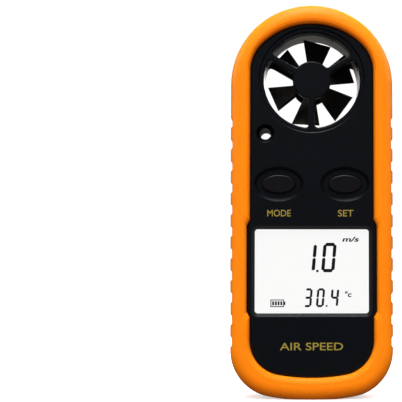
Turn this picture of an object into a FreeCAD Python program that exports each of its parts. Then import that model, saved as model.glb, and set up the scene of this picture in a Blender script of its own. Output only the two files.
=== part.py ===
import FreeCAD, Part
import math
import os

# Pocket vane anemometer (handheld weather meter), in millimetres.
# Frame: X to the right, +Y to the back (the display faces -Y), +Z up along the meter.
# Origin: on the flat foot under the bottom end, midway across the width and the depth.

Vector = FreeCAD.Vector
BACKWARD = Vector(0, 1, 0)

# ---- overall sizes -------------------------------------------------------------------------
BODY_LENGTH = 105.0
BODY_WIDTH = 43.2
BODY_DEPTH = 18.0

# ---- clearances ----------------------------------------------------------------------------
SEAT_GAP = 0.05        # pieces dropped into seats
KEY_GAP = 0.12         # keys in their holes
AXLE_GAP = 0.03        # vane axle in its bearings
COVER_GAP = 0.10       # battery cover in the back shell
WIRE_GAP = 0.08        # leads in their channels

# ---- grip sleeve ---------------------------------------------------------------------------
SLEEVE_WALL = 1.8
GRIP_CORNER_RADIUS = 12.4
GRIP_BASE_RADIUS = 60.0
FOOT_TRIM = 0.4
FRONT_ROUND = 3.6
BACK_ROUND = 2.6
FACE_SINK = 1.4        # from the crest of the lip down to the black face
RIB_COUNT = 11
RIB_PITCH = 5.81
RIB_FIRST_Z = 15.1
RIB_GROOVE_LENGTH = 3.0
RIB_GROOVE_DEPTH = 0.5
RIB_GROOVE_SLOPE = 0.5

# ---- shells --------------------------------------------------------------------------------
SHELL_WALL = 1.6
FACE_RISE = 1.0        # the face stands above the shoulder that the lip covers
FACE_WALL = 2.0
FACE_MARGIN = 5.3      # from the side of the sleeve in to the face
FACE_TOP_MARGIN = 5.4
FACE_TOP_INSET = 2.8   # from half the width of the grip in to the radius of the face's top end
FACE_TOP_CORNER = 10.2
FACE_BASE_MARGIN = 5.8
FACE_BASE_RADIUS = 50.0
FACE_BASE_CORNER = 9.0
FACE_EDGE_ROUND = 0.6
LIP_TO_FACE_GAP = 0.12
LIP_ROUND_STEPS = [(1.3, 0.0), (0.65, 0.22), (0.22, 0.7), (0.0, 1.35)]  # (grow, depth) from the crest inwards

# ---- display -------------------------------------------------------------------------------
WINDOW_WIDTH = 30.2
WINDOW_HEIGHT = 22.2
WINDOW_BOTTOM_Z = 22.6
WINDOW_CORNER = 0.8
WINDOW_BEVEL = 0.9
LENS_THICKNESS = 1.0
LENS_MARGIN = 0.8
BEZEL_WIDTH = 2.0      # from the window out to the widened sides of the face
BEZEL_ABOVE = 3.9
BEZEL_BELOW = 2.5
BEZEL_CHAMFER = (1.6, 3.1)     # across and along
GLASS_MARGIN_X = 0.5
GLASS_MARGIN_Z = 1.7
GLASS_THICKNESS = 1.4
GLASS_SETBACK = 0.2
HOLDER_WALL = 1.1
BACKLIGHT_THICKNESS = 1.5
STRIP_WIDTH = 1.3

# ---- keys ----------------------------------------------------------------------------------
KEY_X = 8.8
KEY_Z = 56.8
KEY_HALF_X = 4.45
KEY_HALF_Z = 2.45
KEY_SINK = 0.15        # key top below the face
KEY_ROUND = 0.35
KEY_FLANGE_MARGIN = 0.9
KEY_FLANGE_THICKNESS = 0.8
KEY_FLANGE_PLAY = 0.1
KEY_STEM_RADIUS = 1.3
KEY_TRAVEL = 0.5
DISH_MARGIN = 2.2
DISH_SLOPE = 0.8
DISH_DEPTH = 0.8

# ---- board and what is on it ---------------------------------------------------------------
BOARD_STANDOFF = 2.4   # from the back of the display glass to the board
BOARD_THICKNESS = 1.0
BOARD_HALF_WIDTH = 15.2
BOARD_TOP_Z = 61.4
BOARD_POST_X = 13.4
BOARD_POST_RADIUS = 1.7
BOARD_POST_GAP = 0.3   # between the posts and the display holder
BOARD_BELOW_POST = 2.2 # from the axis of the lower posts down to the board's edge
BOARD_SCREW_RADIUS = 0.7
BOARD_SCREW_HEAD_RADIUS = 1.4
BOARD_SCREW_HEAD = 0.8
BOARD_SCREW_BITE = 2.6
SWITCH_SIDE = 4.6
SWITCH_HEIGHT = 2.0
PLUNGER_RADIUS = 1.1
PLUNGER_WELL = 1.4
PLUNGER_LENGTH = 1.4
CHIP_SIDE = 8.0
CHIP_HEIGHT = 1.2
CHIP_X = 4.5
CHIP_Z = 54.0
CRYSTAL_RADIUS = 1.0
CRYSTAL_LENGTH = 6.0
CRYSTAL_X = -5.0
CRYSTAL_Z = 50.0
SMALL_PART_SIZE = (1.6, 0.7, 0.8)
SMALL_PART_FIRST_X = -14.6
SMALL_PART_PITCH = 2.6
SMALL_PART_COUNT = 6
SMALL_PART_Z = 58.6

# ---- battery -------------------------------------------------------------------------------
CELL_RADIUS = 10.0
CELL_THICKNESS = 3.2
CELL_EDGE_ROUND = 0.3
CELL_Z = 33.0
WELL_MARGIN = 2.9      # from the cell out to the wall round the battery
WELL_WALL = 1.2
WELL_FLOOR = 0.8
CONTACT_THICKNESS = 0.3
CONTACT_WIDTH = 3.0
CONTACT_REACH = 6.0
CONTACT_SHORT = 0.6    # the side contact stops this far short of the back of the cell
LEG_WIDTH = 2.0
COVER_MARGIN = 1.6     # from the cell out to the edge of the cover
COVER_SINK = 0.1
COVER_ROUND = 0.4
LUG_REACH = 1.0
LUG_THICKNESS = 0.6
LUG_BASE = 0.9
LUG_HALF_ANGLE = 14.0
LUG_TURN = 60.0
LUG_NOTCH_SPARE_ANGLE = 3.0
COIN_SLOT_LENGTH = 14.0
COIN_SLOT_WIDTH = 1.8
COIN_SLOT_DEPTH = 0.9
SEAL_SECTION = 0.42
SEAL_SQUEEZE = 0.025   # how far the seal stands out of the edge of the cover

# ---- duct and vane -------------------------------------------------------------------------
FAN_TOP_MARGIN = 20.4  # from the top of the meter down to the vane axis
DUCT_RADIUS = 12.8
CAGE_RING_WALL = 1.1
CAGE_SINK = 0.4        # cage face below the black face
CAGE_HUB_RADIUS = 5.1
CAGE_HUB_DEPTH = 2.3
SPOKE_WIDTH = 1.6
SPOKE_COUNT = 3
SPOKE_FIRST_ANGLE = 30.0
OPENING_CORNER = 0.9
CAGE_EDGE_ROUND = 0.4
FRONT_RING_DEPTH = 4.4
BACK_RING_DEPTH = 0.9
COLLAR_WALL = 1.4
DUCT_MOUTH_ROUND = 0.35
LINER_WALL = 0.6
LINER_GROOVE = 0.15
LINER_GROOVE_WIDTH = 0.3
BEARING_RADIUS = 1.4
BEARING_LENGTH = 1.5
AXLE_RADIUS = 0.5
AXLE_END_PLAY = 0.2
VANE_HUB_RADIUS = 4.1
VANE_HUB_PLAY = 1.2    # from each end of the vane hub to the cage hubs
BLADE_COUNT = 6
BLADE_FIRST_ANGLE = 22.0
BLADE_HALF_ANGLE = 17.75
BLADE_TIP_GAP = 1.0    # from the corners of the blade tips to the duct
BLADE_DEPTH = 5.0
BLADE_THICKNESS = 0.8
BLADE_ROOT_SINK = 0.7
MAGNET_INNER_RADIUS = 1.6
MAGNET_OUTER_RADIUS = 3.2
MAGNET_LENGTH = 1.8
SENSOR_SIZE = (2.6, 1.2, 2.0)
SENSOR_OFFSET = 3.2
WIRE_RADIUS = 0.2
WIRE_PITCH = 0.5
WIRE_COUNT = 3
WIRE_BEND = 1.5
WIRE_LANDING = 1.4     # from the top edge of the board down to the solder joints
THERMISTOR_RADIUS = 0.75
THERMISTOR_ANGLE = 300.0
THERMISTOR_Y = 1.6
THERMISTOR_HOLE_SPARE = 1.0
THERMISTOR_LEAD_PITCH = 0.8

# ---- strap hole and case screws ------------------------------------------------------------
STRAP_X = -12.4
STRAP_BELOW_FAN = 14.3
STRAP_RADIUS = 1.5
STRAP_TUBE_WALL = 1.2
STRAP_MOUTH_RADIUS = 2.4
STRAP_MOUTH_DEPTH = 1.6
STRAP_MOUTH_ROUND = 0.25
STRAP_BACK_ROUND = 1.1
SCREW_RADIUS = 1.1
SCREW_HEAD_RADIUS = 1.9
SCREW_HEAD = 1.3
SCREW_HEAD_SINK = 1.2
SCREW_BITE = 3.6
SCREW_CROSS_WIDTH = 0.5
SCREW_CROSS_REACH = 1.2
SCREW_CROSS_DEPTH = 0.6
BOSS_RADIUS = 2.3
LOW_SCREW_X = 11.6
LOW_SCREW_Z = 12.8
HIGH_SCREW_X = 13.0
HIGH_SCREW_BELOW_FAN = 20.2

# ---- places worked out from the sizes above ------------------------------------------------
half_width = BODY_WIDTH / 2
lip_y = BODY_DEPTH / 2
face_y = lip_y - FACE_SINK
shoulder_y = face_y - FACE_RISE
inner_y = face_y - FACE_WALL
cap_z = BODY_LENGTH - half_width
fan_z = BODY_LENGTH - FAN_TOP_MARGIN
strap_z = fan_z - STRAP_BELOW_FAN
cage_radius = DUCT_RADIUS + CAGE_RING_WALL
cage_bore = cage_radius + SEAT_GAP
liner_radius = DUCT_RADIUS + LINER_WALL
liner_bore = liner_radius + SEAT_GAP
collar_radius = cage_bore + COLLAR_WALL
cage_y = face_y - CAGE_SINK
cage_hub_y = cage_y - CAGE_HUB_DEPTH
liner_front_y = -cage_y + FRONT_RING_DEPTH
liner_back_y = cage_y - BACK_RING_DEPTH
lens_front_y = -inner_y - LENS_THICKNESS
glass_front_y = -inner_y + GLASS_SETBACK
glass_back_y = glass_front_y + GLASS_THICKNESS
board_front_y = glass_back_y + BOARD_STANDOFF
board_back_y = board_front_y + BOARD_THICKNESS
well_radius = CELL_RADIUS + WELL_MARGIN
cover_radius = CELL_RADIUS + COVER_MARGIN
cell_back_y = inner_y - COVER_GAP
cell_front_y = cell_back_y - CELL_THICKNESS
well_floor_y = cell_front_y - CONTACT_THICKNESS
case_screws = [
    (-LOW_SCREW_X, LOW_SCREW_Z),
    (LOW_SCREW_X, LOW_SCREW_Z),
    (-HIGH_SCREW_X, fan_z - HIGH_SCREW_BELOW_FAN),
    (HIGH_SCREW_X, fan_z - HIGH_SCREW_BELOW_FAN),
]
post_reach = GLASS_MARGIN_Z + HOLDER_WALL + BOARD_POST_GAP + BOARD_POST_RADIUS
low_post_z = WINDOW_BOTTOM_Z - post_reach
high_post_z = WINDOW_BOTTOM_Z + WINDOW_HEIGHT + post_reach
board_bottom_z = low_post_z - BOARD_BELOW_POST
board_posts = [(side * BOARD_POST_X, z) for side in (-1, 1) for z in (low_post_z, high_post_z)]


# ---- basic shapes --------------------------------------------------------------------------
def box(x_low, x_high, y_low, y_high, z_low, z_high):
    return Part.makeBox(x_high - x_low, y_high - y_low, z_high - z_low, Vector(x_low, y_low, z_low))


def rod(x, z, radius, y_low, y_high):
    return Part.makeCylinder(radius, y_high - y_low, Vector(x, y_low, z), BACKWARD)


def tube(x, z, outer, inner, y_low, y_high):
    return rod(x, z, outer, y_low, y_high).cut(rod(x, z, inner, y_low, y_high))


def oval_wire(x, z, half_x, half_z, y):
    centre = Vector(x, y, z)
    ellipse = Part.Ellipse(centre + Vector(half_x, 0, 0), centre + Vector(0, 0, half_z), centre)
    return Part.Wire([ellipse.toShape()])


def oval(x, z, half_x, half_z, y_low, y_high):
    face = Part.Face(oval_wire(x, z, half_x, half_z, y_low))
    return face.extrude(Vector(0, y_high - y_low, 0))


def polygon_prism(points, y_low, y_high):
    corners = [Vector(x, y_low, z) for x, z in points]
    face = Part.Face(Part.makePolygon(corners + corners[:1]))
    return face.extrude(Vector(0, y_high - y_low, 0))


def edges_along_y(shape):
    """The straight edges that run front to back."""
    found = []
    for edge in shape.Edges:
        ends = [vertex.Point for vertex in edge.Vertexes]
        if len(ends) == 2 and abs(abs((ends[1] - ends[0]).normalize().y) - 1) < 1e-6:
            found.append(edge)
    return found


def edges_at_y(shape, y):
    """The edges that lie in the plane across the meter at y."""
    return [edge for edge in shape.Edges
            if abs(edge.BoundBox.YMin - y) < 1e-4 and abs(edge.BoundBox.YMax - y) < 1e-4]


def circles_at(shape, x, z, radius, y):
    """The circular edges of this radius about (x, z), in the plane at y."""
    found = []
    for edge in edges_at_y(shape, y):
        if isinstance(edge.Curve, Part.Circle) and abs(edge.Curve.Radius - radius) < 1e-4:
            if edge.Curve.Center.distanceToPoint(Vector(x, y, z)) < 1e-3:
                found.append(edge)
    return found


def rounded_box(x_low, x_high, y_low, y_high, z_low, z_high, radius):
    """A box whose four front-to-back edges are rounded."""
    block = box(x_low, x_high, y_low, y_high, z_low, z_high)
    return block.makeFillet(radius, edges_along_y(block))


def turned(shape, angle):
    """A copy turned about the vane axis, anticlockwise as seen from the front."""
    copy = shape.copy()
    copy.rotate(Vector(0, 0, fan_z), BACKWARD, -angle)
    return copy


def polar(angle, radius, z_centre):
    """(x, z) at an angle anticlockwise from +X as seen from the front."""
    turn = math.radians(angle)
    return radius * math.cos(turn), z_centre + radius * math.sin(turn)


# ---- outlines ------------------------------------------------------------------------------
def end_points(width, tip_z, end_radius, corner_radius, up):
    """Points of one rounded end, from its right side to the middle of its end arc.

    up is 1 for the top end and -1 for the bottom end. Returns the end of the straight side,
    the middle of the corner arc, where it meets the end arc, and the middle of the end arc.
    """
    reach = math.sqrt((end_radius - corner_radius) ** 2 - (width - corner_radius) ** 2)
    corner = Vector(width - corner_radius, 0, tip_z - up * (end_radius - reach))
    middle = Vector(0, 0, tip_z - up * end_radius)
    outward = (corner - middle).normalize()
    bisector = (outward + Vector(1, 0, 0)).normalize()
    return [corner + Vector(corner_radius, 0, 0), corner + bisector * corner_radius,
            corner + outward * corner_radius, Vector(0, 0, tip_z)]


def mirrored(point):
    return Vector(-point.x, point.y, point.z)


def arc(start, middle, end):
    return Part.Arc(start, middle, end).toShape()


def outline_prism(width, base, top, y_low, y_high):
    """A slab whose outline has straight sides and rounded ends.

    base is (tip z, end radius, corner radius). top is the same, or None for a plain half circle
    about cap_z.
    """
    b_side, b_corner, b_join, b_tip = end_points(width, *base, -1)
    edges = [arc(mirrored(b_join), b_tip, b_join), arc(b_join, b_corner, b_side)]
    if top is None:
        t_side = Vector(width, 0, cap_z)
        edges.append(Part.LineSegment(b_side, t_side).toShape())
        edges.append(arc(t_side, Vector(0, 0, cap_z + width), mirrored(t_side)))
    else:
        t_side, t_corner, t_join, t_tip = end_points(width, *top, 1)
        edges.append(Part.LineSegment(b_side, t_side).toShape())
        edges.append(arc(t_side, t_corner, t_join))
        edges.append(arc(t_join, t_tip, mirrored(t_join)))
        edges.append(arc(mirrored(t_join), mirrored(t_corner), mirrored(t_side)))
    edges.append(Part.LineSegment(mirrored(t_side), mirrored(b_side)).toShape())
    edges.append(arc(mirrored(b_side), mirrored(b_corner), mirrored(b_join)))
    slab = Part.Face(Part.Wire(edges)).extrude(Vector(0, y_high - y_low, 0))
    slab.translate(Vector(0, y_low, 0))
    return slab


def grip_slab(inset, y_low, y_high):
    """The outline of the grip, offset inwards by inset."""
    base = (inset - FOOT_TRIM, GRIP_BASE_RADIUS - inset, GRIP_CORNER_RADIUS - inset)
    return outline_prism(half_width - inset, base, None, y_low, y_high)


def plain_face_slab(grow, y_low, y_high):
    """The outline of a black face, grown by grow."""
    base = (FACE_BASE_MARGIN - grow, FACE_BASE_RADIUS + grow, FACE_BASE_CORNER + grow)
    top = (BODY_LENGTH - FACE_TOP_MARGIN + grow, half_width - FACE_TOP_INSET + grow, FACE_TOP_CORNER + grow)
    return outline_prism(half_width - FACE_MARGIN + grow, base, top, y_low, y_high)


def display_face_slab(grow, y_low, y_high):
    """The outline of the front face, which is wider beside the display."""
    slab = plain_face_slab(grow, y_low, y_high)
    x_side = WINDOW_WIDTH / 2 + BEZEL_WIDTH + grow
    z_low = WINDOW_BOTTOM_Z - BEZEL_BELOW - grow
    z_high = WINDOW_BOTTOM_Z + WINDOW_HEIGHT + BEZEL_ABOVE + grow
    across, along = BEZEL_CHAMFER
    right = [(x_side - across, z_low), (x_side, z_low + along), (x_side, z_high - along), (x_side - across, z_high)]
    beside = right + [(-x, z) for x, z in reversed(right)]
    return slab.fuse(polygon_prism(beside, y_low, y_high)).removeSplitter()


def rim_wire(slab, grow, y):
    """The closed outline of a face slab, grown by grow, at one depth."""
    solid = slab(grow, y, y + 1)
    return [face for face in solid.Faces if abs(face.BoundBox.YMax - y) < 1e-4][0].OuterWire


# ---- case ----------------------------------------------------------------------------------
def grip_sleeve():
    sleeve = grip_slab(0, -lip_y, lip_y)
    sleeve = sleeve.makeFillet(FRONT_ROUND, edges_at_y(sleeve, -lip_y))
    sleeve = sleeve.makeFillet(BACK_ROUND, edges_at_y(sleeve, lip_y))
    sleeve = sleeve.cut(grip_slab(SLEEVE_WALL, -shoulder_y, shoulder_y))
    sleeve = sleeve.cut(display_face_slab(LIP_TO_FACE_GAP, -lip_y, -shoulder_y))
    sleeve = sleeve.cut(plain_face_slab(LIP_TO_FACE_GAP, shoulder_y, lip_y))
    for side, slab in ((-1, display_face_slab), (1, plain_face_slab)):
        for (wide, wide_depth), (narrow, narrow_depth) in zip(LIP_ROUND_STEPS, LIP_ROUND_STEPS[1:]):
            wires = [rim_wire(slab, LIP_TO_FACE_GAP + wide, side * (lip_y - wide_depth)),
                     rim_wire(slab, LIP_TO_FACE_GAP + narrow, side * (lip_y - narrow_depth))]
            sleeve = sleeve.cut(Part.makeLoft(wires, True, True))
    sleeve = sleeve.cut(box(-half_width, half_width, -lip_y, lip_y, -FOOT_TRIM, 0))
    reach = half_width - RIB_GROOVE_DEPTH
    length = RIB_GROOVE_LENGTH / 2
    for index in range(RIB_COUNT):
        z = RIB_FIRST_Z + index * RIB_PITCH
        for side in (-1, 1):
            groove = [(side * reach, z - length + RIB_GROOVE_SLOPE), (side * reach, z + length - RIB_GROOVE_SLOPE),
                      (side * (half_width + RIB_GROOVE_DEPTH), z + length + RIB_GROOVE_SLOPE),
                      (side * (half_width + RIB_GROOVE_DEPTH), z - length - RIB_GROOVE_SLOPE)]
            sleeve = sleeve.cut(polygon_prism(groove, -lip_y, lip_y))
    return sleeve


def shell(side):
    """The walls that both shells share: side is -1 for the front shell and 1 for the back shell."""
    face_slab = display_face_slab if side < 0 else plain_face_slab
    face = face_slab(0, *sorted((side * shoulder_y, side * face_y)))
    face = face.makeFillet(FACE_EDGE_ROUND, edges_at_y(face, side * face_y))
    body = grip_slab(SLEEVE_WALL, *sorted((0, side * shoulder_y))).fuse(face)
    ends = sorted((0, side * inner_y))
    body = body.cut(grip_slab(SLEEVE_WALL + SHELL_WALL, *ends))
    solids = [rod(0, fan_z, collar_radius, *ends),
              rod(STRAP_X, strap_z, STRAP_RADIUS + STRAP_TUBE_WALL, *ends)]
    solids += [rod(x, z, BOSS_RADIUS, *ends) for x, z in case_screws]
    body = body.fuse(solids).removeSplitter()
    through = sorted((0, side * face_y))
    body = body.cut(rod(0, fan_z, liner_bore, *through))
    body = body.cut(rod(STRAP_X, strap_z, STRAP_RADIUS, *through))
    step_y = liner_front_y if side < 0 else liner_back_y
    body = body.cut(rod(0, fan_z, cage_bore, *sorted((step_y, side * face_y))))
    body = body.makeFillet(DUCT_MOUTH_ROUND, circles_at(body, 0, fan_z, cage_bore, side * face_y))
    if side > 0:
        return body.makeFillet(STRAP_BACK_ROUND, circles_at(body, STRAP_X, strap_z, STRAP_RADIUS, face_y))
    mouth = Part.makeCone(STRAP_MOUTH_RADIUS, STRAP_RADIUS, STRAP_MOUTH_DEPTH, Vector(STRAP_X, -face_y, strap_z),
                          BACKWARD)
    body = body.cut(mouth)
    return body.makeFillet(STRAP_MOUTH_ROUND, circles_at(body, STRAP_X, strap_z, STRAP_MOUTH_RADIUS, -face_y))


def window_wire(grow, y):
    frame = rounded_box(-WINDOW_WIDTH / 2 - grow, WINDOW_WIDTH / 2 + grow, y, y + 1,
                        WINDOW_BOTTOM_Z - grow, WINDOW_BOTTOM_Z + WINDOW_HEIGHT + grow, WINDOW_CORNER + grow)
    return [face for face in frame.Faces if abs(face.BoundBox.YMax - y) < 1e-4][0].OuterWire


def front_shell():
    body = shell(-1)
    bevel = Part.makeLoft([window_wire(WINDOW_BEVEL, -face_y), window_wire(0, lens_front_y)], True, True)
    body = body.cut(bevel)
    margin = LENS_MARGIN + SEAT_GAP
    body = body.cut(rounded_box(-WINDOW_WIDTH / 2 - margin, WINDOW_WIDTH / 2 + margin, lens_front_y, -inner_y,
                                WINDOW_BOTTOM_Z - margin, WINDOW_BOTTOM_Z + WINDOW_HEIGHT + margin,
                                WINDOW_CORNER + margin))
    for side in (-1, 1):
        x = side * KEY_X
        rim = oval_wire(x, KEY_Z, KEY_HALF_X + DISH_MARGIN, KEY_HALF_Z + DISH_MARGIN, -face_y)
        floor_margin = DISH_MARGIN - DISH_SLOPE
        floor = oval_wire(x, KEY_Z, KEY_HALF_X + floor_margin, KEY_HALF_Z + floor_margin, -face_y + DISH_DEPTH)
        body = body.cut(Part.makeLoft([rim, floor], True, True))
        body = body.cut(oval(x, KEY_Z, KEY_HALF_X + KEY_GAP, KEY_HALF_Z + KEY_GAP, -face_y, -inner_y))
    for x, z in board_posts:
        body = body.fuse(rod(x, z, BOARD_POST_RADIUS, -inner_y, board_front_y))
        body = body.cut(rod(x, z, BOARD_SCREW_RADIUS, board_front_y - BOARD_SCREW_BITE, board_front_y))
    for x, z in case_screws:
        body = body.cut(rod(x, z, SCREW_RADIUS, -SCREW_BITE, 0))
    return body


def sector(inner, outer, start, end, y_low, y_high):
    """A slab between two radii about the battery axis, from one angle to another."""
    ring = tube(0, CELL_Z, outer, inner, y_low, y_high)
    middle = (start + end) / 2
    reach = outer / math.cos(math.radians(end - start) / 4) + SEAT_GAP
    corners = [(0, CELL_Z), polar(start, reach, CELL_Z), polar(middle, reach, CELL_Z), polar(end, reach, CELL_Z)]
    return ring.common(polygon_prism(corners, y_low, y_high))


def back_shell():
    body = shell(1)
    well = tube(0, CELL_Z, well_radius + WELL_WALL, well_radius, well_floor_y - WELL_FLOOR, inner_y)
    floor = rod(0, CELL_Z, well_radius + WELL_WALL, well_floor_y - WELL_FLOOR, well_floor_y)
    body = body.fuse([well, floor]).removeSplitter()
    body = body.cut(rod(0, CELL_Z, cover_radius + COVER_GAP, inner_y, face_y))
    notch = LUG_HALF_ANGLE + LUG_NOTCH_SPARE_ANGLE
    notch_radius = cover_radius + LUG_REACH + COVER_GAP
    for angle in (90 - LUG_TURN, 270 - LUG_TURN):
        body = body.cut(sector(CELL_RADIUS, notch_radius, angle - notch, angle + notch, inner_y, face_y))
    for x_low, x_high in contact_leg_spans():
        half = LEG_WIDTH / 2 + WIRE_GAP
        body = body.cut(box(x_low - WIRE_GAP, x_high + WIRE_GAP, well_floor_y - WELL_FLOOR, well_floor_y,
                            CELL_Z - half, CELL_Z + half))
    for x, z in case_screws:
        body = body.cut(rod(x, z, SCREW_RADIUS + SEAT_GAP, 0, face_y))
        body = body.cut(rod(x, z, SCREW_HEAD_RADIUS + SEAT_GAP, face_y - SCREW_HEAD_SINK - SCREW_HEAD, face_y))
    body = body.cut(wire_channel())
    body = body.cut(thermistor_hole())
    return body


def case_screw_set():
    screws = []
    head_back = face_y - SCREW_HEAD_SINK
    for x, z in case_screws:
        screw = rod(x, z, SCREW_HEAD_RADIUS, head_back - SCREW_HEAD, head_back)
        screw = screw.fuse(rod(x, z, SCREW_RADIUS, -SCREW_BITE, head_back - SCREW_HEAD)).removeSplitter()
        arm = SCREW_CROSS_REACH
        half = SCREW_CROSS_WIDTH / 2
        y_low = head_back - SCREW_CROSS_DEPTH
        screw = screw.cut(box(x - arm, x + arm, y_low, head_back, z - half, z + half))
        screws.append(screw.cut(box(x - half, x + half, y_low, head_back, z - arm, z + arm)))
    return Part.makeCompound(screws)


# ---- display -------------------------------------------------------------------------------
def window_block(margin_x, margin_z, y_low, y_high):
    """A box behind the window that reaches past it by the two margins."""
    return box(-WINDOW_WIDTH / 2 - margin_x, WINDOW_WIDTH / 2 + margin_x, y_low, y_high,
               WINDOW_BOTTOM_Z - margin_z, WINDOW_BOTTOM_Z + WINDOW_HEIGHT + margin_z)


def display_window():
    return rounded_box(-WINDOW_WIDTH / 2 - LENS_MARGIN, WINDOW_WIDTH / 2 + LENS_MARGIN, lens_front_y, -inner_y,
                       WINDOW_BOTTOM_Z - LENS_MARGIN, WINDOW_BOTTOM_Z + WINDOW_HEIGHT + LENS_MARGIN,
                       WINDOW_CORNER + LENS_MARGIN)


def display_glass():
    return window_block(GLASS_MARGIN_X, GLASS_MARGIN_Z, glass_front_y, glass_back_y)


def display_holder():
    gap = SEAT_GAP
    outer = window_block(GLASS_MARGIN_X + HOLDER_WALL, GLASS_MARGIN_Z + HOLDER_WALL, -inner_y, board_front_y)
    return outer.cut(window_block(GLASS_MARGIN_X + gap, GLASS_MARGIN_Z + gap, -inner_y, board_front_y))


def backlight_panel():
    inset = STRIP_WIDTH + SEAT_GAP
    return window_block(GLASS_MARGIN_X, GLASS_MARGIN_Z - inset, glass_back_y, glass_back_y + BACKLIGHT_THICKNESS)


def contact_strips():
    """The two rubber strips that join the edges of the display glass to the board."""
    full = window_block(GLASS_MARGIN_X, GLASS_MARGIN_Z, glass_back_y, board_front_y)
    between = window_block(GLASS_MARGIN_X, GLASS_MARGIN_Z - STRIP_WIDTH, glass_back_y, board_front_y)
    return full.cut(between)


# ---- keys and switches ---------------------------------------------------------------------
def key(side):
    x = side * KEY_X
    cap = oval(x, KEY_Z, KEY_HALF_X, KEY_HALF_Z, -face_y + KEY_SINK, -inner_y + KEY_FLANGE_PLAY)
    cap = cap.makeFillet(KEY_ROUND, edges_at_y(cap, -face_y + KEY_SINK))
    flange_y = -inner_y + KEY_FLANGE_PLAY
    flange = oval(x, KEY_Z, KEY_HALF_X + KEY_FLANGE_MARGIN, KEY_HALF_Z + KEY_FLANGE_MARGIN,
                  flange_y, flange_y + KEY_FLANGE_THICKNESS)
    stem = rod(x, KEY_Z, KEY_STEM_RADIUS, flange_y + KEY_FLANGE_THICKNESS, plunger_front_y())
    return cap.fuse([flange, stem]).removeSplitter()


def plunger_front_y():
    well_bottom = board_front_y - SWITCH_HEIGHT + PLUNGER_WELL
    return well_bottom - KEY_TRAVEL - KEY_FLANGE_PLAY - PLUNGER_LENGTH


def switch_plunger(side):
    front = plunger_front_y()
    return rod(side * KEY_X, KEY_Z, PLUNGER_RADIUS, front, front + PLUNGER_LENGTH)


def key_switches():
    switches = []
    half = SWITCH_SIDE / 2
    for side in (-1, 1):
        x = side * KEY_X
        front = board_front_y - SWITCH_HEIGHT
        switch = box(x - half, x + half, front, board_front_y, KEY_Z - half, KEY_Z + half)
        switches.append(switch.cut(rod(x, KEY_Z, PLUNGER_RADIUS + KEY_GAP, front, front + PLUNGER_WELL)))
    return Part.makeCompound(switches)


# ---- board ---------------------------------------------------------------------------------
def circuit_board():
    board = box(-BOARD_HALF_WIDTH, BOARD_HALF_WIDTH, board_front_y, board_back_y, board_bottom_z, BOARD_TOP_Z)
    for x, z in board_posts:
        board = board.cut(rod(x, z, BOARD_SCREW_RADIUS + SEAT_GAP, board_front_y, board_back_y))
    return board


def board_screw_set():
    screws = []
    for x, z in board_posts:
        head = rod(x, z, BOARD_SCREW_HEAD_RADIUS, board_back_y, board_back_y + BOARD_SCREW_HEAD)
        shank = rod(x, z, BOARD_SCREW_RADIUS, board_front_y - BOARD_SCREW_BITE, board_back_y)
        screws.append(head.fuse(shank).removeSplitter())
    return Part.makeCompound(screws)


def controller_chip():
    half = CHIP_SIDE / 2
    return box(CHIP_X - half, CHIP_X + half, board_back_y, board_back_y + CHIP_HEIGHT,
               CHIP_Z - half, CHIP_Z + half)


def clock_crystal():
    start = Vector(CRYSTAL_X, board_back_y + CRYSTAL_RADIUS, CRYSTAL_Z)
    return Part.makeCylinder(CRYSTAL_RADIUS, CRYSTAL_LENGTH, start, Vector(0, 0, 1))


def small_components():
    width, height, length = SMALL_PART_SIZE
    parts = []
    for index in range(SMALL_PART_COUNT):
        x = SMALL_PART_FIRST_X + index * SMALL_PART_PITCH
        parts.append(box(x, x + width, board_back_y, board_back_y + height,
                         SMALL_PART_Z, SMALL_PART_Z + length))
    return Part.makeCompound(parts)


# ---- battery -------------------------------------------------------------------------------
def contact_leg_spans():
    """The x spans of the legs of the spring contact and of the side contact."""
    return [(-CONTACT_REACH, CONTACT_THICKNESS - CONTACT_REACH), (CELL_RADIUS, CELL_RADIUS + CONTACT_THICKNESS)]


def coin_cell():
    cell = rod(0, CELL_Z, CELL_RADIUS, cell_front_y, cell_back_y)
    return cell.makeFillet(CELL_EDGE_ROUND, edges_at_y(cell, cell_back_y))


def contact_leg(span, y_high):
    return box(*span, board_back_y, y_high, CELL_Z - LEG_WIDTH / 2, CELL_Z + LEG_WIDTH / 2)


def negative_contact():
    half = CONTACT_WIDTH / 2
    strip = box(-CONTACT_REACH, CONTACT_REACH, well_floor_y, cell_front_y, CELL_Z - half, CELL_Z + half)
    return strip.fuse(contact_leg(contact_leg_spans()[0], well_floor_y)).removeSplitter()


def positive_contact():
    half = CONTACT_WIDTH / 2
    span = contact_leg_spans()[1]
    blade = box(*span, well_floor_y, cell_back_y - CONTACT_SHORT, CELL_Z - half, CELL_Z + half)
    return blade.fuse(contact_leg(span, well_floor_y)).removeSplitter()


def cover_back_y():
    return face_y - COVER_SINK


def seal_ring():
    y = (inner_y + cover_back_y()) / 2
    ring_radius = cover_radius + SEAL_SQUEEZE - SEAL_SECTION
    return Part.makeTorus(ring_radius, SEAL_SECTION, Vector(0, y, CELL_Z), BACKWARD)


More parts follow.
